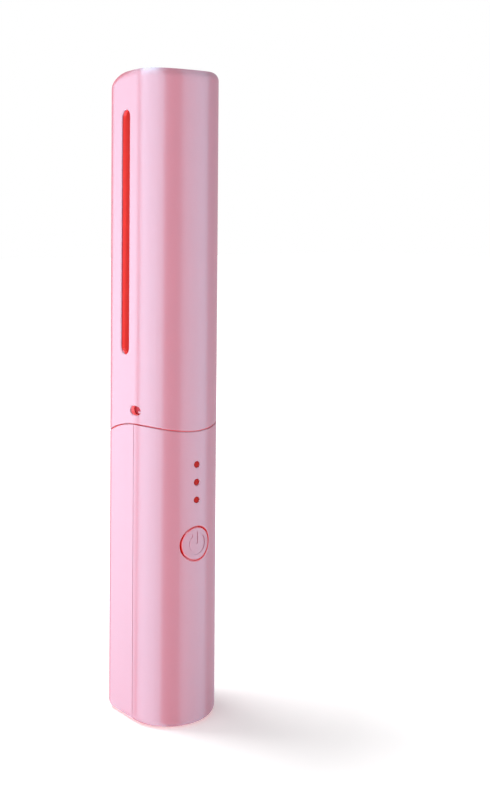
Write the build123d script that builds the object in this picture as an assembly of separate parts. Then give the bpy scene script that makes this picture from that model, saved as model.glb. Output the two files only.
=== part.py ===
from build123d import *
import os
from math import asin, atan2, cos, pi, radians, sin, sqrt, tan

# Cordless hair straightener, in millimetres. +Z is up and the part stands on its base at z = 0.
# The button faces -Y, the teeth point to +Y, and the wide side faces look to -X and +X.
# Both halves of every housing meet at the parting plane, y = parting_y.

# Outer section, shared by the handle and the cap
width = 28.9
spine_depth = 14.0
back_depth = 17.6
back_corner_radius = 5.5
base_round = 2.5
parting_y = (spine_depth - back_depth) / 2
back_y = parting_y + back_depth
half_width = width / 2

# Parting line: a fine groove round every pair of halves
groove_width = 0.2
groove_depth = 0.3

# Small rounds that break the edges which show
rim_round = 0.3
vent_round = 0.4
latch_round = 0.3
lamp_round = 0.2
button_round = 0.25

# Handle shells, with a wavy rim that is an arc seen from the wide side
handle_height = 94.1
handle_wall = 2.0
rim_peak_run = 2.5
rim_arc_radius = 37.5
rim_gap = 0.3
lip_thickness = 0.9
lip_height = 1.2
lip_clearance = 0.1
rim_peak_y = parting_y - rim_peak_run

# Neck of the comb head, held in the handle by a rib in a groove
neck_clearance = 0.1
neck_wall = 1.8
neck_insert = 8.7
neck_rise = 5.2
neck_fall = 3.5
shoulder_height = 4.2
shoulder_step = 0.3
shoulder_shares = [(0.0, 0.0), (0.2, 0.2), (0.62, 0.8), (1.0, 1.0)]
neck_roof = 1.6
catch_rib_run = 2.5
catch_rib_height = 1.2
catch_rib_depth = 1.0
catch_rib_clearance = 0.15
neck_inset = handle_wall + neck_clearance
neck_inner_inset = neck_inset + neck_wall
neck_bottom_z = handle_height - neck_insert
neck_top_z = handle_height + neck_rise
neck_ceiling_z = neck_top_z - neck_roof
catch_rib_z = neck_bottom_z + catch_rib_run

# Guard teeth: wedges between the gaps, in two rows, and a hooked guard tooth below them
tooth_count = 14
tooth_pitch = 5.3
tooth_root_height = 2.45
tooth_tip_height = 1.0
tooth_root_depth = 2.2
tooth_root_round = 0.7
stem_rise = 21.0
end_rise = 12.6
end_block_gap = 4.2
guard_gap = 4.6
guard_tip_height = 2.1
guard_mid_depth = 5.6
guard_mid_drop = 2.3
guard_foot_drop = 5.9

# Cap: its wall leaves a clearance round the neck, its roof a gap over the comb
cap_clearance = 0.5
cap_edge_round = 2.9
cap_top_gap = 3.2
cap_wall = neck_inset - cap_clearance

# Comb head
comb_half_width = 9.0
comb_front_gap = 1.0
comb_back_depth = 11.8
comb_tip_round = 0.7
comb_edge_round = 2.2
comb_wall = 1.6
comb_end_wall = 2.7
stem_back_depth = 3.8
row_slot_half = 5.4
row_slot_low_margin = 1.5
row_slot_high_margin = 0.6
comb_spine_depth = spine_depth - cap_wall - comb_front_gap
comb_tip_y = parting_y + comb_back_depth
tooth_root_y = parting_y + tooth_root_depth
stem_back_y = parting_y + stem_back_depth

# Heights that follow from the neck and the teeth
last_tooth_z = neck_top_z + stem_rise
first_tooth_z = last_tooth_z + (tooth_count - 1) * tooth_pitch
comb_top_z = first_tooth_z + end_rise
total_height = comb_top_z + cap_top_gap
end_block_z = first_tooth_z + end_block_gap
guard_edge_z = last_tooth_z - guard_gap
guard_tip_z = guard_edge_z - guard_tip_height
slot_low = guard_edge_z + row_slot_low_margin
slot_high = end_block_z - row_slot_high_margin

# Crown: the domed end of the comb and of the cap, seen from the wide side
crown_radius = 95.0
crown_back_radius = 12.8
crown_back_run = 9.8
comb_crown_back_radius = 16.5
comb_crown_back_run = 12.5

# Heater bar, held in the row slot by its flange
bar_clearance = 0.4
flange_clearance = 1.0
flange_thickness = 2.5
flange_end_run = 4.5
fin_short = 1.4
fin_side_gap = 0.8
fin_root_height = 1.8
fin_tip_height = 0.7
fin_sink = 0.3
flange_half_width = comb_half_width - comb_wall - flange_clearance
flange_y0 = parting_y - flange_thickness
flange_low = slot_low - row_slot_low_margin - flange_end_run
flange_high = slot_high + flange_end_run

# Ceramic strip on the flange, under a clamp with three ears
heater_half_width = 2.6
heater_thickness = 1.3
heater_foot_rise = 4.0
heater_top_run = 6.0
clamp_thickness = 1.5
clamp_half_width = 3.8
clamp_ear_height = 5.0
clamp_end_gap = 0.5
clamp_ear_gap = 0.3
clamp_ear_inset = 0.75
heater_screw_length = 8.0
heater_bottom_z = neck_top_z + heater_foot_rise
heater_y0 = flange_y0 - heater_thickness
clamp_y0 = heater_y0 - clamp_thickness

# Screws: pan heads with a cross recess
screw_shank_radius = 0.8
screw_head_radius = 1.4
screw_head_height = 1.1
recess_length = 2.0
recess_width = 0.4
recess_depth = 0.5
heater_screw_x = flange_half_width - clamp_ear_inset - screw_head_radius

# Fuse and thermistor, in the strips of the flange beside the clamp
fuse_radius = 0.8
fuse_length = 6.0
fuse_rise = 23.5
thermistor_radius = 0.65
thermistor_length = 2.6
thermistor_rise = 33.5
sensor_edge = 1.1
sensor_x = flange_half_width - sensor_edge
fuse_z = slot_low + fuse_rise
thermistor_z = slot_low + thermistor_rise

# Latch nubs on the neck and the guide rib down its front, with lanes for them in the cap
nub_width = 2.2
nub_height = 1.6
nub_parting_gap = 0.6
nub_edge_share = 0.3
latch_hole_length = 5.1
latch_hole_height = 2.9
latch_hole_shift = 0.55
latch_rise = 4.35
lane_depth = 0.7
lane_clearance = 0.4
guide_rib_width = 2.5
guide_rib_top_run = 0.9
guide_rib_root = 0.5
latch_z = handle_height + latch_rise
rib_proud = cap_clearance + lane_depth - lane_clearance

# Vent slots through the wide sides of the cap
vent_width = 4.4
vent_length = 76.6
vent_end_run = 9.6
vent_depth = 5.3
vent_top_z = comb_top_z - vent_end_run
vent_y = parting_y + vent_depth

# Cell, pad, end ring and tabs
cell_radius = 9.2
cell_length = 65.2
cell_floor_gap = 6.0
cell_edge_round = 0.8
cell_button_radius = 2.9
cell_button_height = 0.9
ring_outer_radius = 8.2
ring_bore_gap = 0.3
ring_thickness = 0.4
pad_thickness = 0.5
pad_half_width = 6.0
pad_run = 10.0
tab_half_width = 3.0
tab_thickness = 0.25
tab_run = 3.5
tab_rise = 3.2
cell_y = back_y - handle_wall - pad_thickness - cell_radius
cell_bottom_z = handle_wall + cell_floor_gap
cell_top_z = cell_bottom_z + cell_length

# Tray between the cell and the board: plate, posts and three saddle ribs
tray_thickness = 1.2
tray_gap = 0.4
tray_low_run = 1.5
tray_rib_count = 3
tray_rib_thickness = 2.0
tray_window_half_width = 4.0
tray_window_drop = 1.5
post_height = 0.5
post_wall = 0.9
tray_y1 = cell_y - cell_radius - tray_gap
tray_y0 = tray_y1 - tray_thickness

# Circuit board on the posts
board_thickness = 1.2
board_side_gap = 0.9
board_floor_gap = 0.6
board_neck_gap = 0.7
board_screw_edge = 2.0
board_screw_inset = 8.0
board_screw_length = 5.0
board_hole_clearance = 0.15
solder_gap = 0.02
board_y1 = tray_y0 - post_height
board_front_y = board_y1 - board_thickness
solder_y = board_front_y - solder_gap
board_bottom_z = handle_wall + board_floor_gap
board_top_z = neck_bottom_z - board_neck_gap

# Indicator lamps and the clear light pipe in front of them
lamp_count = 3
lamp_hole_radius = 1.05
lamp_neck_run = 3.3
lamp_pitch = 5.54
lamp_recess = 0.25
pipe_clearance = 0.1
pipe_bar_half_width = 1.8
pipe_bar_thickness = 1.3
pipe_bar_wall_gap = 0.5
pipe_end_run = 3.0
pipe_leg_height = 1.2
led_gap = 0.3
led_width = 2.0
led_height = 1.2
led_thickness = 0.8
lamp_top_z = neck_bottom_z - lamp_neck_run
lamp_heights = [lamp_top_z - i * lamp_pitch for i in range(lamp_count)]

# Power button, with the tactile switch behind it
button_radius = 5.0
button_gap = 0.5
button_drop = 13.7
button_flange_reach = 1.3
button_flange_thickness = 0.8
button_flange_clearance = 0.3
button_stem_radius = 1.5
button_travel = 0.6
collar_clearance = 0.3
collar_wall = 0.9
collar_depth = 1.0
symbol_radius = 3.0
symbol_stroke = 0.9
symbol_depth = 0.15
symbol_gap_half_angle = 28.0
symbol_bar_length = 4.0
switch_size = 6.0
switch_height = 2.4
plunger_radius = 1.75
plunger_height = 1.0
plunger_seat = 0.5
plunger_clearance = 0.3
button_z = lamp_heights[-1] - button_drop

# Charging socket in the base
socket_width = 8.94
socket_depth = 3.26
socket_height = 7.3
socket_wall = 0.3
socket_back = 1.0
socket_recess = 0.4
socket_corner_gap = 0.05
socket_slot_clearance = 0.25
tongue_width = 6.7
tongue_thickness = 0.7
tongue_short = 1.0

# Parts on the board's front; a capacitor's size is wide, tall, thick
chip_size = 5.0
chip_thickness = 0.9
charge_chip_size = 4.0
mosfet_width = 5.0
mosfet_height = 6.0
mosfet_thickness = 1.1
inductor_size = 5.3
inductor_thickness = 2.4
inductor_round = 1.0
capacitor_size = (1.6, 0.8, 0.8)

# Heat barrier across the neck
barrier_thickness = 1.6
barrier_clearance = 0.2
barrier_hole_half_width = 6.0
barrier_hole_depth = 6.0
barrier_bridge = 1.0
barrier_top = neck_ceiling_z - barrier_clearance
barrier_low = barrier_top - barrier_thickness

# Leads
lead_radius = 0.6
sensor_lead_radius = 0.3

# Reach of cutting blocks beyond the part, and overlap of joined ones
beyond = 60.0
bite = 1.0


def oval(spine, half, inset=0.0):
    """Half an oval of three arcs: nose radius, side radius and the angle where they meet."""
    if abs(spine - half) < 0.01:
        spine = half + 0.01
    nose = half * sqrt(half / spine)
    side = (half ** 2 + (spine - nose) ** 2 - nose ** 2) / (2 * (half - nose))
    turn = atan2(abs(spine - nose), abs(side - half))
    return nose - inset, side - inset, turn


def section(spine, half, back, corner, inset=0.0):
    """Flat D-shaped face: half an oval to -Y, a box with round corners to +Y."""
    a = spine - inset
    b = half - inset
    c = back - inset
    r = max(corner - inset, 0)
    nose, side, turn = oval(spine, half, inset)
    join_x = nose * cos(turn)
    join_t = a - nose + nose * sin(turn)
    mid_x = b - side + side * cos(turn / 2)
    mid_t = side * sin(turn / 2)
    k = r * (1 - sqrt(0.5))

    def at(x, t):
        return (x, parting_y - t)

    edges = [
        ThreePointArc(at(b, 0), at(mid_x, mid_t), at(join_x, join_t)),
        ThreePointArc(at(join_x, join_t), at(0, a), at(-join_x, join_t)),
        ThreePointArc(at(-join_x, join_t), at(-mid_x, mid_t), at(-b, 0)),
        Line(at(-b, 0), at(-b, r - c)),
        Line(at(r - b, -c), at(b - r, -c)),
        Line(at(b, r - c), at(b, 0)),
    ]
    if r > 0:
        edges.append(ThreePointArc(at(-b, r - c), at(k - b, k - c), at(r - b, -c)))
        edges.append(ThreePointArc(at(b - r, -c), at(b - k, k - c), at(b, r - c)))
    return Face(Wire(edges))


def prism(face, low, high):
    """The face drawn at z = 0, pushed up from low to high."""
    return extrude(Pos(0, 0, low) * face, amount=high - low, dir=(0, 0, 1))


def box(x0, x1, y0, y1, z0, z1):
    """Block between two corners."""
    size = (x1 - x0, y1 - y0, z1 - z0)
    return Pos((x0 + x1) / 2, (y0 + y1) / 2, (z0 + z1) / 2) * Box(*size)


def rod_y(radius, y0, y1, x, z):
    """Cylinder along Y."""
    return Pos(x, (y0 + y1) / 2, z) * Rot(90, 0, 0) * Cylinder(radius, y1 - y0)


def rod_z(radius, z0, z1, x, y):
    """Cylinder along Z."""
    return Pos(x, y, (z0 + z1) / 2) * Cylinder(radius, z1 - z0)


def across(edges, half=beyond):
    """A face drawn in (y, z) by a list of edges, pushed across X from -half to +half."""
    face = Face(Wire(edges))
    return extrude(Pos(-half, 0, 0) * face, amount=2 * half, dir=(1, 0, 0))


def yz(y, z):
    return (0, y, z)


def outline(points):
    """Straight edges through (y, z) points, closed."""
    loop = points + points[:1]
    return [Line(yz(*p), yz(*q)) for p, q in zip(loop, loop[1:])]


def above_rim(lift=0.0):
    """Everything over the wavy rim, raised by lift. The arc runs past both ends of the section."""
    middle_z = handle_height - rim_arc_radius + lift
    reach = 0.8 * rim_arc_radius

    def on_arc(y):
        return yz(y, middle_z + sqrt(rim_arc_radius ** 2 - (y - rim_peak_y) ** 2))

    low, high = rim_peak_y - reach, rim_peak_y + reach
    top_z = total_height + beyond
    arc = ThreePointArc(on_arc(low), on_arc(rim_peak_y), on_arc(high))
    sides = [
        Line(on_arc(high), yz(high, top_z)),
        Line(yz(high, top_z), yz(low, top_z)),
        Line(yz(low, top_z), on_arc(low)),
    ]
    return across([arc] + sides)


def above_crown(top_z, end_y, inset=0.0, back_radius=crown_back_radius, back_run=crown_back_run):
    """Everything over the domed end: a wide arc, then a tight one that drops past end_y."""
    big = crown_radius - inset
    small = back_radius - inset
    center_z = top_z - crown_radius
    join_y = end_y - back_run
    lean = asin((join_y - parting_y) / crown_radius)
    small_y = join_y - back_radius * sin(lean)
    small_z = center_z + (crown_radius - back_radius) * cos(lean)

    def on_crown(angle):
        return yz(parting_y + big * sin(angle), center_z + big * cos(angle))

    def on_back(angle):
        return yz(small_y + small * sin(angle), small_z + small * cos(angle))

    front_angle = -asin(2 * spine_depth / crown_radius)
    back_angle = radians(85)
    front = on_crown(front_angle)
    back = on_back(back_angle)
    roof_z = top_z + beyond
    edges = [
        ThreePointArc(front, on_crown((front_angle + lean) / 2), on_crown(lean)),
        ThreePointArc(on_crown(lean), on_back((lean + back_angle) / 2), back),
        Line(back, yz(back[1] + beyond, back[2])),
        Line(yz(back[1] + beyond, back[2]), yz(back[1] + beyond, roof_z)),
        Line(yz(back[1] + beyond, roof_z), yz(front[1], roof_z)),
        Line(yz(front[1], roof_z), front),
    ]
    return across(edges)


def front_of(y):
    """Everything on the button's side of a plane."""
    return box(-beyond, beyond, y - beyond, y, -beyond, total_height + beyond)


def round_edges(solid, radius, low, high):
    """Round the edges whose middle lies between two heights."""
    edges = [e for e in solid.edges() if low < e.center().Z < high]
    return fillet(edges, radius)


def round_inside(solid, radius, x0, x1, y0, y1, z0, z1):
    """Round the edges that lie wholly inside a block."""
    picked = []
    for edge in solid.edges():
        low, high = edge.bounding_box().min, edge.bounding_box().max
        if x0 < low.X and high.X < x1 and y0 < low.Y and high.Y < y1 and z0 < low.Z and high.Z < z1:
            picked.append(edge)
    return fillet(picked, radius)


def half_at(depth, inset=0.0):
    """Half the width of the handle's section at a depth in front of the parting plane."""
    nose, side, turn = oval(spine_depth, half_width, inset)
    if depth < side * sin(turn):
        return half_width - inset - side + sqrt(side ** 2 - depth ** 2)
    return sqrt(nose ** 2 - (depth - spine_depth + inset + nose) ** 2)


# Handle: one outer form, cut at the rim and split at the parting plane
def body_section(inset=0.0):
    return section(spine_depth, half_width, back_depth, back_corner_radius, inset)


def handle_form(inset=0.0):
    form = prism(body_section(inset), inset, handle_height + bite)
    if base_round > inset:
        form = round_edges(form, base_round - inset, inset - 0.01, inset + 0.01)
    return form - above_rim()


def inset_ring(outer_inset, inner_inset, low, high):
    """Ring that follows the handle's section, between two insets."""
    hollow = prism(body_section(inner_inset), low - bite, high + bite)
    return prism(body_section(outer_inset), low, high) - hollow


parting_slab = box(
    -beyond, beyond, parting_y - groove_width / 2, parting_y + groove_width / 2, -bite, total_height)


handle_outer = round_edges(handle_form(), rim_round, neck_bottom_z, handle_height + bite)
handle_cavity = prism(body_section(handle_wall), handle_wall, handle_height + beyond)
handle_tube = handle_outer - handle_cavity
handle_tube -= (handle_form() - handle_form(groove_depth)) & parting_slab
catch_rib = inset_ring(
    handle_wall, handle_wall + catch_rib_depth, catch_rib_z, catch_rib_z + catch_rib_height)
handle_tube += catch_rib

# A lip on the front shell's edge fits in a rebate of the back shell
lip_inset = handle_wall - lip_thickness
lip_zone = box(-beyond, beyond, parting_y, parting_y + lip_height, -bite, neck_bottom_z)
lip = (handle_form(lip_inset) - handle_cavity) & lip_zone
rebate_zone = box(
    -beyond, beyond, parting_y, parting_y + lip_height + lip_clearance, -bite,
    neck_bottom_z + lip_clearance)
rebate = (handle_form(lip_inset - lip_clearance) - handle_cavity) & rebate_zone

front_shell = (handle_tube & front_of(parting_y)) + lip
back_shell = handle_tube - front_of(parting_y) - rebate

# Button hole, collar, lamp holes and charging slot in the front shell
hole_radius = button_radius + button_gap
flange_radius = hole_radius + button_flange_reach
collar_inner = flange_radius + collar_clearance
collar_outer = collar_inner + collar_wall
collar_zone = rod_y(collar_outer, parting_y - spine_depth, parting_y, 0, button_z)
collar_zone -= rod_y(collar_inner, -beyond, beyond, 0, button_z)
collar_ring = inset_ring(
    handle_wall - bite, handle_wall + collar_depth, button_z - collar_outer, button_z + collar_outer)
front_shell += collar_ring & collar_zone
front_shell -= rod_y(hole_radius, -beyond, parting_y - bite, 0, button_z)
outer_wall_y = parting_y - spine_depth + handle_wall
reach = hole_radius + button_round
front_shell = round_inside(
    front_shell, button_round, -reach, reach, -beyond, outer_wall_y, button_z - reach, button_z + reach)

for z in lamp_heights:
    front_shell -= rod_y(lamp_hole_radius, -beyond, parting_y - bite, 0, z)
    reach = lamp_hole_radius + lamp_round
    front_shell = round_inside(
        front_shell, lamp_round, -reach, reach, -beyond, outer_wall_y - bite, z - reach, z + reach)

socket_middle_y = solder_y - socket_depth / 2
socket_slot = RectangleRounded(
    socket_width + 2 * socket_slot_clearance,
    socket_depth + 2 * socket_slot_clearance,
    socket_depth / 2)
front_shell -= prism(Pos(0, socket_middle_y) * socket_slot, -bite, handle_wall + bite)


# Comb head: neck, shoulder and stem as one form, split at the parting plane
def stem_section(back, corner, inset=0.0):
    return section(comb_spine_depth, comb_half_width, back, corner, inset)


def above_slope(drop=0.0):
    """Everything over the slope from the stem's foot down to the neck's back, lowered by drop."""
    start_z = neck_top_z + shoulder_height
    run = back_depth - neck_inset - stem_back_depth
    fall = (shoulder_height + neck_fall) / run * beyond
    return across(outline([
        (stem_back_y, start_z - drop),
        (stem_back_y + beyond, start_z - fall - drop),
        (stem_back_y + beyond, start_z - drop),
    ]))


def blend(share, inset=0.0):
    """Section from just inside the neck's to the stem's, share 0 to 1."""
    step = neck_inset + shoulder_step

    def mix(neck, stem):
        return neck + (stem - neck) * share

    return section(
        mix(spine_depth - step, comb_spine_depth),
        mix(half_width - step, comb_half_width),
        mix(back_depth - step, stem_back_depth),
        mix(back_corner_radius - step, comb_tip_round),
        inset)


def shoulder_form(inset=0.0):
    """Dome from the neck's edge up to the stem, through four sections."""
    return loft([
        Pos(0, 0, neck_top_z + rise * shoulder_height) * blend(share, inset)
        for rise, share in shoulder_shares])


def head_form(inset=0.0):
    neck = prism(body_section(neck_inset + inset), neck_bottom_z, neck_top_z)
    stem = prism(stem_section(comb_back_depth, 0, inset), neck_top_z - bite, comb_top_z + bite)
    stem -= above_crown(comb_top_z, comb_tip_y, inset, comb_crown_back_radius, comb_crown_back_run)
    top_edges = [
        e for e in stem.edges()
        if e.center().Z > end_block_z and e.geom_type != GeomType.LINE]
    stem = fillet(top_edges, comb_edge_round - inset)
    stem &= prism(stem_section(comb_back_depth, comb_tip_round, inset), 0, total_height)
    return neck, shoulder_form(inset), stem


def tooth_height(k):
    return first_tooth_z - k * tooth_pitch


# Under the guard tooth the back drops in a hollow curve to the slim stem
guard_tip = yz(comb_tip_y, guard_tip_z)
guard_mid = yz(parting_y + guard_mid_depth, guard_tip_z - guard_mid_drop)
guard_foot = yz(stem_back_y, guard_tip_z - guard_foot_drop)
underside = across([
    ThreePointArc(guard_tip, guard_mid, guard_foot),
    Line(guard_foot, yz(stem_back_y, 0)),
    Line(yz(stem_back_y, 0), yz(comb_tip_y + beyond, 0)),
    Line(yz(comb_tip_y + beyond, 0), yz(comb_tip_y + beyond, guard_tip_z)),
    Line(yz(comb_tip_y + beyond, guard_tip_z), guard_tip),
])


def gap_between(upper_root, upper_tip, lower_root, lower_tip):
    """Wedge-shaped gap between two teeth, wider at the tips, with a round root."""
    past = comb_half_width
    slope_upper = (upper_tip - upper_root) / (comb_tip_y - tooth_root_y)
    slope_lower = (lower_tip - lower_root) / (comb_tip_y - tooth_root_y)
    end_y = comb_tip_y + past
    wedge = across(outline([
        (tooth_root_y, upper_root),
        (end_y, upper_tip + slope_upper * past),
        (end_y, lower_tip + slope_lower * past),
        (tooth_root_y, lower_root),
    ]), comb_half_width * 2)
    roots = [e for e in wedge.edges().filter_by(Axis.X) if abs(e.center().Y - tooth_root_y) < 0.01]
    return fillet(roots, tooth_root_round)


root_half = tooth_root_height / 2
tip_half = tooth_tip_height / 2
gaps = [gap_between(end_block_z, end_block_z, tooth_height(0) + root_half, tooth_height(0) + tip_half)]
for k in range(tooth_count - 1):
    gaps.append(gap_between(
        tooth_height(k) - root_half, tooth_height(k) - tip_half,
        tooth_height(k + 1) + root_half, tooth_height(k + 1) + tip_half))
last = tooth_count - 1
gaps.append(gap_between(
    tooth_height(last) - root_half, tooth_height(last) - tip_half, guard_edge_z, guard_edge_z))

neck_form, shoulder, stem_form = head_form()
head_outer = neck_form + shoulder + (stem_form - underside) - above_slope()
inner_neck, inner_shoulder, inner_stem = head_form(groove_depth)
head_inner = inner_neck + inner_shoulder + inner_stem
head_outer -= (head_outer - head_inner) & parting_slab & box(
    -beyond, beyond, -beyond, beyond, catch_rib_z + 2 * catch_rib_height, total_height)

# The catch groove takes the rib of the shells
head_outer -= inset_ring(
    neck_inset - bite, handle_wall + catch_rib_depth + catch_rib_clearance,
    catch_rib_z - catch_rib_clearance, catch_rib_z + catch_rib_height + catch_rib_clearance)

neck_cavity = prism(body_section(neck_inner_inset), neck_bottom_z - bite, neck_ceiling_z)
neck_cavity -= above_slope(neck_roof)
spine_cavity = prism(
    stem_section(comb_back_depth, comb_tip_round, comb_wall), neck_ceiling_z - bite, comb_top_z)
spine_cavity -= above_crown(
    comb_top_z - comb_end_wall, comb_tip_y, 0.0, comb_crown_back_radius, comb_crown_back_run)
spine_cavity &= front_of(parting_y)

front_cover = (head_outer & front_of(parting_y)) - neck_cavity - spine_cavity
guide_rib_high = neck_top_z - guide_rib_top_run
guide_rib = inset_ring(
    neck_inset - rib_proud, neck_inset + guide_rib_root, neck_bottom_z, guide_rib_high)
guide_rib &= box(
    -guide_rib_width / 2, guide_rib_width / 2, -beyond, parting_y - spine_depth / 2, 0, guide_rib_high)
front_cover += guide_rib & above_rim(rim_gap)

# Back half: teeth, row slot, and the throat that leads the wires from the bar to the neck
comb_back = head_outer - front_of(parting_y) - neck_cavity
for gap in gaps:
    comb_back -= gap
comb_back -= box(
    -row_slot_half, row_slot_half, parting_y - bite, comb_tip_y + bite, slot_low, slot_high)


# Latch nubs: small ramps on both sides of the neck, carried by the front half
def latch_nub(side):
    """Ramp that rises from the neck's side towards its lower, square edge."""
    x_face = half_width - neck_inset
    x_in = x_face - neck_wall / 2
    x_out = x_face + rib_proud
    top = latch_z + nub_height / 2
    low = latch_z - nub_height / 2
    points = [
        (x_in, top), (x_face, top), (x_out, low + nub_height * nub_edge_share), (x_out, low), (x_in, low)]
    loop = [(side * x, 0, z) for x, z in points]
    edges = [Line(p, q) for p, q in zip(loop, loop[1:] + loop[:1])]
    front_y = parting_y - nub_parting_gap - nub_width
    return extrude(Pos(0, front_y, 0) * Face(Wire(edges)), amount=nub_width, dir=(0, 1, 0))


for side in (-1, 1):
    front_cover += latch_nub(side)

# Heater bar: flange inside the front cover, web through the row slot, one fin behind each tooth
web_half = row_slot_half - bar_clearance
fin_half = row_slot_half - fin_side_gap
bar = box(-flange_half_width, flange_half_width, flange_y0, parting_y, flange_low, flange_high)
web_root_y = tooth_root_y - fin_sink
bar += box(-web_half, web_half, parting_y, web_root_y, slot_low + bar_clearance, slot_high - bar_clearance)
fin_tip_y = comb_tip_y - fin_short
for k in range(tooth_count):
    z = tooth_height(k)
    fin = across(outline([
        (web_root_y - fin_sink, z - fin_root_height / 2),
        (fin_tip_y, z - fin_tip_height / 2),
        (fin_tip_y, z + fin_tip_height / 2),
        (web_root_y - fin_sink, z + fin_root_height / 2),
    ]), fin_half)
    bar += fin

# Ceramic strip on the flange, and the clamp with its three ears
heater_top_z = slot_high - heater_top_run
ceramic = box(
    -heater_half_width, heater_half_width, heater_y0, flange_y0, heater_bottom_z, heater_top_z)
clamp_low = flange_low + clamp_end_gap
clamp_high = flange_high - clamp_end_gap
clamp = box(-clamp_half_width, clamp_half_width, clamp_y0, heater_y0, clamp_low, clamp_high)
ear_low_z = clamp_low + clamp_ear_height / 2
ear_high_z = clamp_high - clamp_ear_height / 2
ear_inner = heater_half_width + clamp_ear_gap
ear_outer = flange_half_width - clamp_ear_inset
for side in (-1, 1):
    x_pair = sorted([side * ear_inner, side * ear_outer])
    clamp += box(*x_pair, clamp_y0, flange_y0, clamp_low, clamp_low + clamp_ear_height)
clamp += box(
    -clamp_half_width, clamp_half_width, clamp_y0, flange_y0, clamp_high - clamp_ear_height, clamp_high)


def screw(x, y, z, length):
    """Pan-head screw along +Y with its head's seat at y."""
    top_y = y - screw_head_height
    head = rod_y(screw_head_radius, top_y, y, x, z)
    for half_x, half_z in ((recess_length / 2, recess_width / 2), (recess_width / 2, recess_length / 2)):
        head -= box(x - half_x, x + half_x, top_y - bite, top_y + recess_depth, z - half_z, z + half_z)
    return head + rod_y(screw_shank_radius, y, y + length, x, z)


screw_places = [(-heater_screw_x, ear_low_z), (heater_screw_x, ear_low_z), (0, ear_high_z)]
heater_screws = []
for x, z in screw_places:
    heater_screws.append(screw(x, clamp_y0, z, heater_screw_length))
    hole = rod_y(screw_shank_radius, clamp_y0 - bite, clamp_y0 + heater_screw_length, x, z)
    clamp -= hole
    bar -= hole
    comb_back -= hole

fuse = rod_z(fuse_radius, fuse_z, fuse_z + fuse_length, -sensor_x, flange_y0 - fuse_radius)
thermistor = rod_z(
    thermistor_radius, thermistor_z, thermistor_z + thermistor_length, sensor_x,
    flange_y0 - thermistor_radius)

# Heat barrier across the neck, under its roof
barrier = prism(body_section(neck_inner_inset + barrier_clearance), barrier_low, barrier_top)
barrier -= above_slope(neck_roof + barrier_clearance)
barrier_hole_y1 = parting_y - barrier_bridge
barrier -= box(
    -barrier_hole_half_width, barrier_hole_half_width, barrier_hole_y1 - barrier_hole_depth,
    barrier_hole_y1, barrier_low - bite, barrier_top + bite)

# Power button: cap, retaining flange, stem and engraved symbol
button_low = button_z - flange_radius - bite
button_high = button_z + flange_radius + bite
flange_inset = handle_wall + button_flange_clearance
flange_back_inset = flange_inset + button_flange_thickness
key_ring = inset_ring(0, flange_back_inset, button_low, button_high)
flange_ring = inset_ring(flange_inset, flange_back_inset, button_low, button_high)
button = key_ring & rod_y(button_radius, -beyond, parting_y, 0, button_z)
reach = button_radius + button_round
button = round_inside(
    button, button_round, -reach, reach, -beyond, outer_wall_y - bite / 2, button_z - reach, button_z + reach)
button += flange_ring & rod_y(flange_radius, -beyond, parting_y, 0, button_z)
switch_front_y = solder_y - switch_height
plunger_front_y = switch_front_y - plunger_height
button += rod_y(
    button_stem_radius, parting_y - spine_depth + flange_inset, plunger_front_y, 0, button_z)

symbol_outer = symbol_radius + symbol_stroke / 2
symbol_inner = symbol_radius - symbol_stroke / 2
ring = Circle(symbol_outer) - Circle(symbol_inner)
notch_half = symbol_radius * sin(radians(symbol_gap_half_angle))
ring -= Pos(0, symbol_outer) * Rectangle(2 * notch_half, 2 * symbol_radius)
bar_middle = symbol_outer + symbol_stroke / 2 - symbol_bar_length / 2
stroke = Pos(0, bar_middle) * Rot(0, 0, 90) * SlotOverall(symbol_bar_length, symbol_stroke)
symbol_plane = Plane((0, -beyond, button_z), x_dir=(1, 0, 0), z_dir=(0, -1, 0))
skin = inset_ring(0, symbol_depth, button_low, button_high)
for mark in (ring, stroke):
    button -= extrude(symbol_plane * mark, amount=-beyond) & skin

# Tactile switch on the board, and its plunger on the button
switch = box(
    -switch_size / 2, switch_size / 2, switch_front_y, solder_y,
    button_z - switch_size / 2, button_z + switch_size / 2)
well_y = switch_front_y + plunger_seat + button_travel + plunger_clearance
switch -= rod_y(plunger_radius + plunger_clearance, switch_front_y - bite, well_y, 0, button_z)
plunger = rod_y(plunger_radius, plunger_front_y, switch_front_y + plunger_seat, 0, button_z)

# Lamps and the clear light pipe in front of them
pipe_y0 = parting_y - spine_depth + handle_wall + pipe_bar_wall_gap
pipe_y1 = pipe_y0 + pipe_bar_thickness
pipe_low = lamp_heights[-1] - pipe_end_run
pipe_high = lamp_top_z + led_height / 2 + led_gap + pipe_leg_height
led_front_y = solder_y - led_thickness
pipe = box(-pipe_bar_half_width, pipe_bar_half_width, pipe_y0, pipe_y1, pipe_low, pipe_high)
for z in (pipe_low, pipe_high - pipe_leg_height):
    pipe += box(
        -pipe_bar_half_width, pipe_bar_half_width, pipe_y0, solder_y, z, z + pipe_leg_height)
for z in lamp_heights:
    pipe += rod_y(
        lamp_hole_radius - pipe_clearance, parting_y - spine_depth + lamp_recess,
        led_front_y - led_gap, 0, z)

leds = [
    box(-led_width / 2, led_width / 2, led_front_y, solder_y, z - led_height / 2, z + led_height / 2)
    for z in reversed(lamp_heights)]

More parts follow.
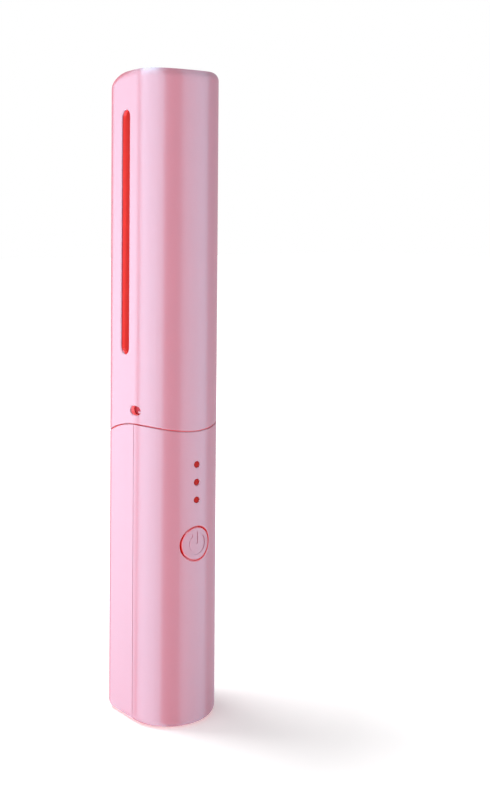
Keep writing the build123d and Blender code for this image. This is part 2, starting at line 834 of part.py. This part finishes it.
# Board with its screw holes
board_half_width = half_at(parting_y - board_front_y, handle_wall) - board_side_gap
board_screw_x = board_half_width - board_screw_edge
board = box(
    -board_half_width, board_half_width, board_front_y, board_y1, board_bottom_z, board_top_z)
board_screw_places = [
    (x, z)
    for x in (-board_screw_x, board_screw_x)
    for z in (board_bottom_z + board_screw_inset, board_top_z - board_screw_inset)]
board_screws = [screw(x, solder_y, z, board_screw_length) for x, z in board_screw_places]
for x, z in board_screw_places:
    board -= rod_y(
        screw_shank_radius + board_hole_clearance, board_front_y - bite, board_y1 + bite, x, z)

# Charging socket at the board's foot
socket_low = socket_recess
socket_high = socket_recess + socket_height
socket_corner = socket_depth / 2 - socket_corner_gap
socket_face = RectangleRounded(socket_width, socket_depth, socket_corner)
socket_hollow = RectangleRounded(
    socket_width - 2 * socket_wall, socket_depth - 2 * socket_wall, socket_corner - socket_wall)
socket = prism(Pos(0, socket_middle_y) * socket_face, socket_low, socket_high)
socket -= prism(Pos(0, socket_middle_y) * socket_hollow, socket_low - bite, socket_high - socket_back)
tongue = box(
    -tongue_width / 2, tongue_width / 2, socket_middle_y - tongue_thickness / 2,
    socket_middle_y + tongue_thickness / 2, socket_low + tongue_short, socket_high - socket_back)

# Cell, its end ring, tabs and pad
cell_face_z = cell_top_z - cell_button_height
can = rod_z(cell_radius, cell_bottom_z, cell_face_z, 0, cell_y)
can = fillet(can.edges().filter_by(GeomType.CIRCLE), cell_edge_round)
can += rod_z(cell_button_radius, cell_face_z - bite, cell_top_z, 0, cell_y)
end_ring = rod_z(ring_outer_radius, cell_face_z, cell_face_z + ring_thickness, 0, cell_y)
end_ring -= rod_z(cell_button_radius + ring_bore_gap, cell_bottom_z, cell_top_z, 0, cell_y)

tab_y0 = board_y1
plus_z = cell_top_z
plus_tab = box(
    -tab_half_width, tab_half_width, tab_y0, cell_y + tab_run, plus_z, plus_z + tab_thickness)
plus_tab += box(
    -tab_half_width, tab_half_width, tab_y0, tab_y0 + tab_thickness, plus_z, plus_z + tab_rise)
minus_z = cell_bottom_z - tab_thickness
minus_tab = box(
    -tab_half_width, tab_half_width, tab_y0, cell_y + tab_run, minus_z, cell_bottom_z)
minus_tab += box(
    -tab_half_width, tab_half_width, tab_y0, tab_y0 + tab_thickness, minus_z - tab_rise, minus_z)

pad = box(
    -pad_half_width, pad_half_width, cell_y, back_y - handle_wall, cell_bottom_z + pad_run,
    cell_top_z - pad_run)
pad -= rod_z(cell_radius, cell_bottom_z, cell_top_z, 0, cell_y)

# Tray between the board and the cell: plate, posts under the screws, three saddle ribs
tray_bottom_z = cell_bottom_z + tray_low_run
tray_top_z = board_top_z - bite
tray_half_width = half_at(parting_y - tray_y0, handle_wall) - tray_gap
tray = box(-tray_half_width, tray_half_width, tray_y0, tray_y1, tray_bottom_z, tray_top_z)
for x, z in board_screw_places:
    tray += rod_y(screw_shank_radius + post_wall, board_y1, tray_y0, x, z)
rib_zone = prism(body_section(handle_wall + tray_gap), 0, handle_height)
rib_pitch = (cell_length - 2 * pad_run) / (tray_rib_count - 1)
for i in range(tray_rib_count):
    z = cell_bottom_z + pad_run + i * rib_pitch
    rib = box(
        -half_width, half_width, tray_y0, cell_y, z - tray_rib_thickness / 2, z + tray_rib_thickness / 2)
    tray += rib & rib_zone
tray -= rod_z(cell_radius + tray_gap / 2, cell_bottom_z, cell_top_z, 0, cell_y)
tray -= box(
    -tray_window_half_width, tray_window_half_width, tray_y0 - bite, tray_y1 + bite,
    cell_top_z - tray_window_drop, tray_top_z + bite)
for x, z in board_screw_places:
    tray -= rod_y(screw_shank_radius, board_y1 - bite, tray_y1 + bite, x, z)


def chip(x_share, rise_share, wide, tall, thick):
    """Block on the board's front, placed by shares of the board's half width and of the button's rise."""
    x = x_share * board_half_width
    z = socket_high + rise_share * (button_z - socket_high)
    return box(x - wide / 2, x + wide / 2, solder_y - thick, solder_y, z - tall / 2, z + tall / 2)


control_chip = chip(-0.26, 0.75, chip_size, chip_size, chip_thickness)
charge_chip = chip(0.32, 0.27, charge_chip_size, charge_chip_size, chip_thickness)
mosfet = chip(0.38, 0.57, mosfet_width, mosfet_height, mosfet_thickness)
inductor = chip(-0.38, 0.38, inductor_size, inductor_size, inductor_thickness)
inductor = fillet(inductor.edges().filter_by(Axis.Y), inductor_round)
capacitors = []
for x_share in (-0.64, -0.36, 0.32, 0.64):
    for rise_share in (0.135, 0.175):
        capacitors.append(chip(x_share, rise_share, *capacitor_size))
for rise_share in (0.42, 0.71, 0.78, 0.86):
    capacitors.append(chip(0.68, rise_share, *capacitor_size))


# Cap: one moulding with a domed end, vent slots, latch holes and inner lanes
def cap_form(inset=0.0):
    form = prism(body_section(inset), 0, total_height + bite)
    form -= above_crown(total_height, back_y, inset)
    return round_edges(form, cap_edge_round - inset, last_tooth_z, total_height + bite)


cap_outer = round_edges(cap_form() & above_rim(rim_gap), rim_round, neck_bottom_z, neck_top_z)
cap = cap_outer - cap_form(cap_wall)

vent_low_z = vent_top_z - vent_length
vent = Pos(0, vent_y, (vent_low_z + vent_top_z) / 2) * Rot(0, 90, 0)
cap -= vent * extrude(SlotOverall(vent_length, vent_width), amount=beyond, both=True)
latch_y = parting_y - latch_hole_shift
latch_hole = Pos(0, latch_y, latch_z) * Rot(0, 90, 0) * Rot(0, 0, 90)
cap -= latch_hole * extrude(SlotOverall(latch_hole_length, latch_hole_height), amount=beyond, both=True)
outer_x = half_width - cap_wall / 2
for x0, x1 in ((-beyond, -outer_x), (outer_x, beyond)):
    cap = round_inside(
        cap, vent_round, x0, x1, vent_y - vent_width, vent_y + vent_width,
        vent_low_z - vent_round, vent_top_z + vent_round)
    cap = round_inside(
        cap, latch_round, x0, x1, latch_y - latch_hole_length, latch_y + latch_hole_length,
        latch_z - latch_hole_height, latch_z + latch_hole_height)

lanes = inset_ring(cap_wall - lane_depth, cap_wall + bite, 0, neck_top_z)
nub_lane = box(
    -beyond, beyond, parting_y - nub_parting_gap - nub_width - lane_clearance,
    parting_y - nub_parting_gap + lane_clearance, 0, latch_z + nub_height / 2 + lane_clearance)
rib_lane_half = guide_rib_width / 2 + lane_clearance
rib_lane = box(
    -rib_lane_half, rib_lane_half, -beyond, parting_y - spine_depth / 2, 0, guide_rib_high + lane_clearance)
cap -= lanes & nub_lane
cap -= lanes & rib_lane


# Leads inside the head: straight runs joined by wide arcs
arc_share = 0.45


def lead(points, radius, name):
    """Tube along the points, each arc as large as its two runs allow."""
    vectors = [Vector(*p) for p in points]
    runs = [b - a for a, b in zip(vectors, vectors[1:])]
    radii = []
    for first, second in zip(runs, runs[1:]):
        half_turn = radians(first.get_angle(second)) / 2
        shorter = min(first.length, second.length)
        radii.append(arc_share * shorter / tan(half_turn))
    path = FilletPolyline(*points, radius=radii)
    start = Plane(origin=path @ 0, z_dir=path % 0)
    tube = sweep(start * Circle(radius), path=path)
    print(name, "least radius", round(min(radii), 1), "length", round(path.length, 1),
          "volume over section times length", round(tube.volume / (pi * radius ** 2 * path.length), 3))
    return tube


lead_y = heater_y0 + heater_thickness / 2
pad_y = solder_y - lead_radius
heater_leads = []
for side in (-1, 1):
    heater_leads.append(lead([
        (side * 1.5, lead_y, heater_bottom_z),
        (side * 1.5, lead_y, heater_bottom_z - 5.5),
        (side * 3.2, lead_y - 2.6, heater_bottom_z - 12.0),
        (side * 5.0, pad_y - 0.2, board_top_z + 3.0),
        (side * 5.3, pad_y, board_top_z - 3.5),
    ], lead_radius, "heater lead"))

sensor_pad_y = solder_y - sensor_lead_radius
sensor_leads = []
for side, start_z in ((-1, fuse_z), (1, thermistor_z)):
    sensor_leads.append(lead([
        (side * sensor_x, flange_y0 - fuse_radius, start_z),
        (side * sensor_x, flange_y0 - fuse_radius, start_z - 9.0),
        (side * 4.4, clamp_y0 - 0.7, flange_low + 13.0),
        (side * 2.2, clamp_y0 - 0.9, flange_low + 5.0),
        (side * 1.9, clamp_y0 - 0.8, barrier_top + 7.0),
        (side * 2.3, clamp_y0 - 1.2, barrier_top - 3.0),
        (side * 2.6, sensor_pad_y - 0.1, board_top_z + 3.5),
        (side * 2.8, sensor_pad_y, board_top_z - 3.5),
    ], sensor_lead_radius, "sensor lead"))

nodes = {
    "handle_front_shell": front_shell,
    "handle_back_shell": back_shell,
    "head_front_cover": front_cover,
    "comb_back": comb_back,
    "cap_shell": cap,
    "power_button": button,
    "switch_plunger": plunger,
    "light_pipe": pipe,
    "heater_bar": bar,
    "ceramic_heater": ceramic,
    "heater_clamp": clamp,
    "heater_screws": Compound(children=heater_screws),
    "thermal_fuse": fuse,
    "thermistor": thermistor,
    "heater_leads": Compound(children=heater_leads),
    "sensor_leads": Compound(children=sensor_leads),
    "heat_barrier": barrier,
    "inner_frame": tray,
    "battery_cell": can,
    "battery_end_ring": end_ring,
    "battery_plus_tab": plus_tab,
    "battery_minus_tab": minus_tab,
    "battery_pad": pad,
    "main_board": board,
    "board_screws": Compound(children=board_screws),
    "usb_c_shell": socket,
    "usb_c_tongue": tongue,
    "tact_switch": switch,
    "control_chip": control_chip,
    "charge_chip": charge_chip,
    "boost_inductor": inductor,
    "heater_mosfet": mosfet,
    "chip_capacitors": Compound(children=capacitors),
}
for i, led in enumerate(leds):
    nodes[f"status_led_{i + 1}"] = led

os.makedirs("parts", exist_ok=True)
for name, solid in nodes.items():
    export_step(solid, f"parts/{name}.step")
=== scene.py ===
from math import cos, radians, sin

import bpy
from mathutils import Matrix, Vector

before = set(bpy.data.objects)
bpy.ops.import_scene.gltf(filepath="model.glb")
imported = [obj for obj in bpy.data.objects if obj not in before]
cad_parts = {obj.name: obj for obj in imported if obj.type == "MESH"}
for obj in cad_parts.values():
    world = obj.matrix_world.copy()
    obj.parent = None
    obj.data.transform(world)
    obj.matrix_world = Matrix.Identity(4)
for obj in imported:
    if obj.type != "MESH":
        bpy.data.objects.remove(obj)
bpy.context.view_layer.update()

# Camera: the photograph's viewing angle, from the front left, a little below the top of the rod.
# A 54 mm lens, shifted down so that the verticals stay nearly upright. Its sensor's 36 mm lie along
# the picture's height, and rows count from the picture's top.
eye_turn = 0.668
eye_tilt = 0.032
eye_roll = 0.008
eye_distance = 0.3744
eye_aside = 0.0230
eye_height = 0.1613
aim_y = -0.0018
focal_pixels = 1177.9
picture_height = 786
middle_row = 393
horizon_row = 247.4
sensor_mm = 36.0
ahead = Vector((sin(eye_turn), cos(eye_turn), 0))
aside = Vector((cos(eye_turn), -sin(eye_turn), 0))
upward = Vector((0, 0, 1))
look = ahead * cos(eye_tilt) - upward * sin(eye_tilt)
rise = upward * cos(eye_tilt) + ahead * sin(eye_tilt)
right = aside * cos(eye_roll) + rise * sin(eye_roll)
top = rise * cos(eye_roll) - aside * sin(eye_roll)
camera_data = bpy.data.cameras.new("photo_lens")
camera_data.sensor_width = sensor_mm
camera_data.lens = sensor_mm * focal_pixels / picture_height
camera_data.shift_y = -(middle_row - horizon_row) / picture_height
camera_data.clip_start = 0.01
camera = bpy.data.objects.new("camera", camera_data)
camera.location = Vector((0, aim_y, 0)) - ahead * eye_distance + aside * eye_aside + upward * eye_height
camera.rotation_euler = Matrix((right, top, -look)).transposed().to_euler()
bpy.context.scene.collection.objects.link(camera)
bpy.context.scene.camera = camera


# Handle: two halves of moulded coral ABS, joined along their parting line round the cell and the board.
# Outside they are sprayed with pearl paint: a rose base under titania-coated mica, whose flakes
# reflect pale blue, so a face turned to a lamp looks lilac and the others deep rose.
def linear(code):
    """An sRGB colour such as "f4b6cc" as linear red, green, blue and alpha."""
    parts = [int(code[i:i + 2], 16) / 255 for i in (0, 2, 4)]
    return tuple(v / 12.92 if v <= 0.04045 else ((v + 0.055) / 1.055) ** 2.4 for v in parts) + (1.0,)


def add(owner, kind, settings=None, links=None):
    """Adds a node to a material or world, sets its properties and inputs, and links its inputs.

    An input goes by its name, or by its number where the name occurs twice: the two colours of a
    colour mix are inputs 6 and 7, and its result is output 2."""
    node = owner.node_tree.nodes.new(kind)
    for key, value in (settings or {}).items():
        if isinstance(key, str) and hasattr(node, key):
            setattr(node, key, value)
        else:
            node.inputs[key].default_value = value
    for key, source in (links or {}).items():
        owner.node_tree.links.new(source, node.inputs[key])
    return node


def start_material(name):
    """An empty node material with its output node."""
    material = bpy.data.materials.new(name)
    material.use_nodes = True
    material.node_tree.nodes.clear()
    return material, add(material, "ShaderNodeOutputMaterial")


def give(node, material):
    """Puts a material in the slot of a CAD node."""
    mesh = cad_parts[node].data
    mesh.materials.clear()
    mesh.materials.append(material)


def bare_plastic(material, place, depth, low, high):
    """Two masks: 1 on all bare plastic, and the same without the underside, which sets where a painted
    glow goes.

    The spray reaches only the outside. So the moulding is bare deeper than depth inside the outer
    section, an oval spine with a flat back and round corners, from low to high, which keep clear of
    the rounded base and crown. It is also bare on both edges of the ring round the button, and on
    the underside, on which it stands when sprayed. All sizes are in metres."""
    half_width = 0.01445
    spine_depth = 0.0140
    parting_y = -0.0018
    back_y = 0.0158
    corner = 0.0055
    underside = 0.0007
    button_z = 0.05732
    ring_inner = 0.00488
    ring_outer = 0.00560
    spine_y = -0.008
    split = add(material, "ShaderNodeSeparateXYZ", None, {"Vector": place.outputs["Object"]})
    values = {axis: split.outputs[axis] for axis in ("X", "Y", "Z")}
    steps = (
        ("from parting", "SUBTRACT", "Y", parting_y),
        ("spine run", "MINIMUM", "from parting", 0.0),
        ("spine share", "DIVIDE", "spine run", spine_depth),
        ("width share", "DIVIDE", "X", half_width),
        ("spine square", "MULTIPLY", "spine share", "spine share"),
        ("width square", "MULTIPLY", "width share", "width share"),
        ("oval square", "ADD", "spine square", "width square"),
        ("oval reach", "SQRT", "oval square", 0.0),
        ("oval rest", "SUBTRACT", 1.0, "oval reach"),
        ("oval inset", "MULTIPLY", "oval rest", spine_depth),
        ("side", "ABSOLUTE", "X", 0.0),
        ("past side", "SUBTRACT", "side", half_width - corner),
        ("past back", "SUBTRACT", "Y", back_y - corner),
        ("side run", "MAXIMUM", "past side", 0.0),
        ("back run", "MAXIMUM", "past back", 0.0),
        ("side square", "MULTIPLY", "side run", "side run"),
        ("back square", "MULTIPLY", "back run", "back run"),
        ("corner square", "ADD", "side square", "back square"),
        ("corner reach", "SQRT", "corner square", 0.0),
        ("corner inset", "SUBTRACT", corner, "corner reach"),
        ("inset", "MINIMUM", "oval inset", "corner inset"),
        ("inside", "GREATER_THAN", "inset", depth),
        ("above", "GREATER_THAN", "Z", low),
        ("below", "LESS_THAN", "Z", high),
        ("between", "MULTIPLY", "above", "below"),
        ("deep", "MULTIPLY", "inside", "between"),
        ("over button", "SUBTRACT", "Z", button_z),
        ("over square", "MULTIPLY", "over button", "over button"),
        ("across square", "MULTIPLY", "X", "X"),
        ("ring square", "ADD", "over square", "across square"),
        ("ring reach", "SQRT", "ring square", 0.0),
        ("past button", "GREATER_THAN", "ring reach", ring_inner),
        ("within hole", "LESS_THAN", "ring reach", ring_outer),
        ("on spine", "LESS_THAN", "Y", spine_y),
        ("round", "MULTIPLY", "past button", "within hole"),
        ("ring", "MULTIPLY", "round", "on spine"),
        ("unreached", "MAXIMUM", "deep", "ring"),
        ("under", "LESS_THAN", "Z", underside),
        ("bare", "MAXIMUM", "unreached", "under"),
    )
    for name, operation, *inputs in steps:
        numbers = {slot: value for slot, value in enumerate(inputs) if not isinstance(value, str)}
        links = {slot: values[value] for slot, value in enumerate(inputs) if isinstance(value, str)}
        node = add(material, "ShaderNodeMath", {"operation": operation, **numbers}, links)
        values[name] = node.outputs[0]
    return values["bare"], values["unreached"]


def pearl_paint(name, base, deep, bare=None, plastic="cc120a", glow=0.4):
    """Pearl paint: slow drift of shade over centimetres, flake speckle and a fine orange peel.

    It is sprayed in passes along the rod, so the flakes lie along it and draw each lamp out into a
    long band. They are far finer than a pixel, and are drawn at 0.4 mm so that they still break it.
    Where the moulding is bare, a weak red glow is painted light, standing in for the light that comes
    through the thin wall.
    The setting bare holds the depth and the two heights for bare_plastic, and None is paint all over."""
    drift_per_metre = 60.0
    flakes_per_metre = 2500.0
    peel_per_metre = 900.0
    peel_depth = 0.0002
    peel_strength = 0.04
    flake_rough = (0.47, 0.55)
    mica_ior = 2.6
    pearl_level = 0.82
    pearl_blue = "ace8ff"
    flakes_along_rod = 0.25
    material, output = start_material(name)
    place = add(material, "ShaderNodeTexCoord")
    where = {"Vector": place.outputs["Object"]}
    drift = add(material, "ShaderNodeTexNoise", {"Scale": drift_per_metre, "Detail": 2.0}, where)
    flake = add(material, "ShaderNodeTexNoise", {"Scale": flakes_per_metre, "Detail": 1.0}, where)
    peel = add(material, "ShaderNodeTexNoise", {"Scale": peel_per_metre, "Detail": 1.0}, where)
    tint = add(
        material, "ShaderNodeMix", {"data_type": "RGBA", 6: linear(base), 7: linear(deep)},
        {0: drift.outputs["Fac"]})
    rough = add(
        material, "ShaderNodeMapRange", {"To Min": flake_rough[0], "To Max": flake_rough[1]},
        {"Value": flake.outputs["Fac"]})
    bump = add(
        material, "ShaderNodeBump", {"Strength": peel_strength, "Distance": peel_depth},
        {"Height": peel.outputs["Fac"]})
    around = add(material, "ShaderNodeTangent", {"direction_type": "RADIAL", "axis": "Z"})
    settings = {
        "IOR": mica_ior, "Specular IOR Level": pearl_level, "Specular Tint": linear(pearl_blue),
        "Anisotropic": 1.0, "Anisotropic Rotation": flakes_along_rod}
    links = {
        "Base Color": tint.outputs[2], "Roughness": rough.outputs["Result"],
        "Normal": bump.outputs["Normal"], "Tangent": around.outputs["Tangent"]}
    if bare:
        mask, painted_glow_mask = bare_plastic(material, place, *bare)
        body = add(
            material, "ShaderNodeMix", {"data_type": "RGBA", 7: linear(plastic)},
            {0: mask, 6: tint.outputs[2]})
        # Painted light: the bare plastic glows, though it is no lamp.
        painted_glow_strength = add(material, "ShaderNodeMath", {"operation": "MULTIPLY", 1: glow}, {0: painted_glow_mask})
        settings["Emission Color"] = linear(plastic)
        links["Base Color"] = body.outputs[2]
        links["Emission Strength"] = painted_glow_strength.outputs[0]
    paint = add(material, "ShaderNodeBsdfPrincipled", settings, links)
    material.node_tree.links.new(paint.outputs["BSDF"], output.inputs["Surface"])
    return material


# The handle's bare inside and the ring round the button glow faintly red: painted light in place of
# light through the wall.
handle_sprayed_to = 0.00045
handle_bare_heights = (0.0026, 0.1)
handle_paint = pearl_paint(
    "pearl_paint_on_handle", "bb4450", "b63f4b", bare=(handle_sprayed_to, *handle_bare_heights))
for node in ("handle_front_shell", "handle_back_shell"):
    give(node, handle_paint)

# Cap: one coral ABS moulding in the same paint. The spray goes a little way into the vent slots.
# Its wall is thin, and its bare red inside glows, painted light standing in for what comes through the
# wall, so it shows a bright red.
cap_sprayed_to = 0.0005
cap_bare_heights = (0.0, 0.1945)
give("cap_shell", pearl_paint(
    "pearl_paint_on_cap", "bb4450", "b63f4b", bare=(cap_sprayed_to, *cap_bare_heights),
    plastic="f0463f", glow=0.5))

# Comb head: two halves of heat-resistant nylon, welded along the parting line.
# They have the same pearl paint all over, a shade deeper on the darker nylon.
head_paint = pearl_paint("pearl_paint_on_nylon", "b8424e", "b33d49")
for node in ("head_front_cover", "comb_back"):
    give(node, head_paint)

# Power button: a moulded ABS key in the shell's paint, flush with the spine, held by a flange inside.
# Only its face is sprayed; its sides and flange are bare coral and show as the red ring, kept bright by
# a faint painted glow.
button_sprayed_to = 0.0009
button_bare_heights = (0.0, 0.1)
give("power_button", pearl_paint(
    "pearl_paint_on_button", "ba4450", "b53f4b", bare=(button_sprayed_to, *button_bare_heights),
    plastic="c01008", glow=0.35))


# Lenses: one red acrylic moulding behind the three lamp holes, moulded in a polished mould.
# It sits sunk in the round holes, so it mirrors little and gives three plain deep red dots.
def finish(name, colour, rough_low, rough_high, grain_mm, **settings):
    """One colour, with a roughness and a fine relief that vary at the size of the surface's grain."""
    grain_strength = 0.1
    grain_depth = 0.0001
    resin_ior = 1.5
    material, output = start_material(name)
    place = add(material, "ShaderNodeTexCoord")
    grain = add(
        material, "ShaderNodeTexNoise", {"Scale": 1000.0 / grain_mm, "Detail": 2.0},
        {"Vector": place.outputs["Object"]})
    rough = add(
        material, "ShaderNodeMapRange", {"To Min": rough_low, "To Max": rough_high},
        {"Value": grain.outputs["Fac"]})
    bump = add(
        material, "ShaderNodeBump", {"Strength": grain_strength, "Distance": grain_depth},
        {"Height": grain.outputs["Fac"]})
    values = {"Base Color": linear(colour), "IOR": resin_ior}
    values.update({key.replace("_", " "): value for key, value in settings.items()})
    surface = add(
        material, "ShaderNodeBsdfPrincipled", values,
        {"Roughness": rough.outputs["Result"], "Normal": bump.outputs["Normal"]})
    material.node_tree.links.new(surface.outputs["BSDF"], output.inputs["Surface"])
    return material


give("light_pipe", finish("polished_red_acrylic", "a00a06", 0.30, 0.38, 3.0, Specular_IOR_Level=0.12))

# Heater: a die-cast aluminium bar with a fin between the left and right tooth of each pair, tumbled
# to a satin grey. A sintered alumina strip heats it, dull and cream white. The clamp on it and the
# plate under it are ivory nylon filled with glass, whose fibres leave the face a little mottled.
give("heater_bar", finish("tumbled_die_cast_aluminium", "cfcac8", 0.35, 0.50, 0.6, Metallic=1.0))
give("ceramic_heater", finish("sintered_alumina", "e2d8c8", 0.50, 0.70, 0.8))
glass_nylon = finish("glass_filled_nylon", "e0d9c8", 0.50, 0.65, 1.0)
for node in ("heater_clamp", "heat_barrier"):
    give(node, glass_nylon)

# Screws and fuse: cold-headed steel screws and the fuse's drawn can, zinc plated in a barrel.
# The plating is bright and lightly clouded, so each catches a soft white spot.
plated_steel = finish("zinc_plated_steel", "c6c6c8", 0.25, 0.40, 0.8, Metallic=1.0)
for node in ("heater_screws", "board_screws", "thermal_fuse"):
    give(node, plated_steel)

# Sensor bead and lamps: clear resin cast round each chip.
# The resin is glossy and faintly yellow, so each piece shows a small sharp highlight.
cast_resin = finish("cast_clear_resin", "eee6cc", 0.10, 0.20, 1.0)
for node in ("thermistor", "status_led_1", "status_led_2", "status_led_3"):
    give(node, cast_resin)

# Leads: stranded copper in extruded red silicone, from the heater down to the board.
# The silicone is soft and has a dull sheen.
silicone = finish("extruded_silicone", "b8241c", 0.45, 0.60, 0.6)
for node in ("heater_leads", "sensor_leads"):
    give(node, silicone)

# Cell: a round lithium cell in blue heat-shrunk film, glossy with slow waves where it shrank.
# Its plus end has a dull punched fibre ring, and dark foam behind it holds it still. Its tabs, and
# the socket's shell on the board, are rolled nickel with a satin shine.
give("battery_cell", finish("heat_shrunk_film", "2a6ea0", 0.20, 0.30, 4.0))
give("battery_end_ring", finish("punched_fibre_paper", "d8d2c0", 0.70, 0.85, 0.5))
nickel = finish("rolled_nickel", "cbc8c0", 0.18, 0.30, 0.8, Metallic=1.0)
for node in ("battery_plus_tab", "battery_minus_tab", "usb_c_shell"):
    give(node, nickel)
give("battery_pad", finish("closed_cell_foam", "2c2c2e", 0.80, 0.95, 0.5))

# Board: glass epoxy under half-glossy green solder mask, with moulded black packages, a pressed
# ferrite inductor and small fired ceramic blocks soldered on it. The tray, the socket's tongue, the
# switch and its plunger are black nylon with the fine grain of their moulds.
give("main_board", finish("green_solder_mask", "1c5c38", 0.30, 0.45, 1.0))
give("boost_inductor", finish("pressed_ferrite", "393736", 0.60, 0.75, 0.4))
give("chip_capacitors", finish("fired_chip_ceramic", "b9a68c", 0.40, 0.55, 0.5))
epoxy = finish("moulded_black_epoxy", "232325", 0.50, 0.62, 0.4)
for node in ("control_chip", "charge_chip", "heater_mosfet"):
    give(node, epoxy)
black_nylon = finish("moulded_black_nylon", "262628", 0.40, 0.55, 0.8)
for node in ("inner_frame", "usb_c_tongue", "tact_switch", "switch_plunger"):
    give(node, black_nylon)


# Floor: a seamless white sweep under the object, which keeps only its soft shadow.
# It is white by its own colour, and more so away from the object, where the lamps don't reach.
# To glossy rays it glows brighter still, a painted reflection that lightens the object's paint.
def seen_directly(owner):
    """1 for camera, glossy and transmission rays, and 0 for the rays that light other things."""
    path = add(owner, "ShaderNodeLightPath")
    mirrored = add(
        owner, "ShaderNodeMath", {"operation": "MAXIMUM"},
        {0: path.outputs["Is Camera Ray"], 1: path.outputs["Is Glossy Ray"]})
    seen = add(
        owner, "ShaderNodeMath", {"operation": "MAXIMUM"},
        {0: mirrored.outputs[0], 1: path.outputs["Is Transmission Ray"]})
    return seen


near = 0.06
far = 0.22
glow_near = 0.24
glow_far = 0.85
# Extra glow seen only in reflections: a painted reflection on the object's paint.
painted_reflection_glow = 0.45
bpy.ops.object.select_all(action="DESELECT")
bpy.ops.mesh.primitive_plane_add(size=6.0, location=(0, 0, 0))
floor = bpy.context.object
floor.name = "floor"
bpy.ops.object.transform_apply(location=True, rotation=True, scale=True)
floor_white, output = start_material("white_sweep")
seen = seen_directly(floor_white)
place = add(floor_white, "ShaderNodeTexCoord")
away = add(floor_white, "ShaderNodeVectorMath", {"operation": "LENGTH"}, {0: place.outputs["Object"]})
lift = add(
    floor_white, "ShaderNodeMapRange",
    {"From Min": near, "From Max": far, "To Min": glow_near, "To Max": glow_far},
    {"Value": away.outputs["Value"]})
strength = add(
    floor_white, "ShaderNodeMath", {"operation": "MULTIPLY"},
    {0: seen.outputs[0], 1: lift.outputs["Result"]})
path = add(floor_white, "ShaderNodeLightPath")
lift_and_painted_reflection = add(
    floor_white, "ShaderNodeMath", {"operation": "MULTIPLY_ADD", 1: painted_reflection_glow},
    {0: path.outputs["Is Glossy Ray"], 2: strength.outputs[0]})
glow = add(
    floor_white, "ShaderNodeEmission", {"Color": linear("ffffff")}, {"Strength": lift_and_painted_reflection.outputs[0]})
matte = add(floor_white, "ShaderNodeBsdfDiffuse", {"Color": linear("ffffff")})
both = add(
    floor_white, "ShaderNodeAddShader", None, {0: matte.outputs["BSDF"], 1: glow.outputs["Emission"]})
floor_white.node_tree.links.new(both.outputs["Shader"], output.inputs["Surface"])
floor.data.materials.append(floor_white)

# World: a white room round the object, white where camera, glossy and glass rays see it.
# What it lights gets only a dim, even share, so the lamps make the bands and the shadow.
room_light = 0.26
world = bpy.data.worlds.new("white_studio")
bpy.context.scene.world = world
world.use_nodes = True
world.node_tree.nodes.clear()
seen = seen_directly(world)
dim = add(world, "ShaderNodeBackground", {"Color": linear("ffffff"), "Strength": room_light})
white = add(world, "ShaderNodeBackground", {"Color": linear("ffffff"), "Strength": 1.0})
blend = add(
    world, "ShaderNodeMixShader", None,
    {0: seen.outputs[0], 1: dim.outputs["Background"], 2: white.outputs["Background"]})
add(world, "ShaderNodeOutputWorld", None, {"Surface": blend.outputs["Shader"]})


# Lamps: low, wide softboxes on the left, behind and on the right, which draw the long pale bands,
# and one above and behind that puts the short soft shadow on the floor.
def softbox(name, turn, height, distance, width, tall, power):
    """An area lamp aimed at the rod's middle; sizes in metres, power in watts.

    Its turn is in degrees round the rod: 0 is in front of the button and 90 to its left."""
    aim_height = 0.1
    data = bpy.data.lights.new(name, "AREA")
    data.shape = "RECTANGLE"
    data.size = width
    data.size_y = tall
    data.energy = power
    lamp = bpy.data.objects.new(name, data)
    lamp.location = (-sin(radians(turn)) * distance, -cos(radians(turn)) * distance, height)
    aim = Vector((0, 0, aim_height)) - lamp.location
    lamp.rotation_euler = aim.to_track_quat("-Z", "Y").to_euler()
    bpy.context.scene.collection.objects.link(lamp)


softbox("key_softbox", turn=88, height=0.08, distance=0.6, width=0.84, tall=0.18, power=4.6)
softbox("rear_softbox", turn=146, height=0.09, distance=0.6, width=0.30, tall=0.18, power=1.3)
softbox("fill_softbox", turn=-27, height=0.09, distance=0.6, width=0.90, tall=0.18, power=2.3)
softbox("top_softbox", turn=155, height=0.75, distance=0.35, width=0.35, tall=0.35, power=4.2)

bpy.context.scene.view_settings.view_transform = "Standard"
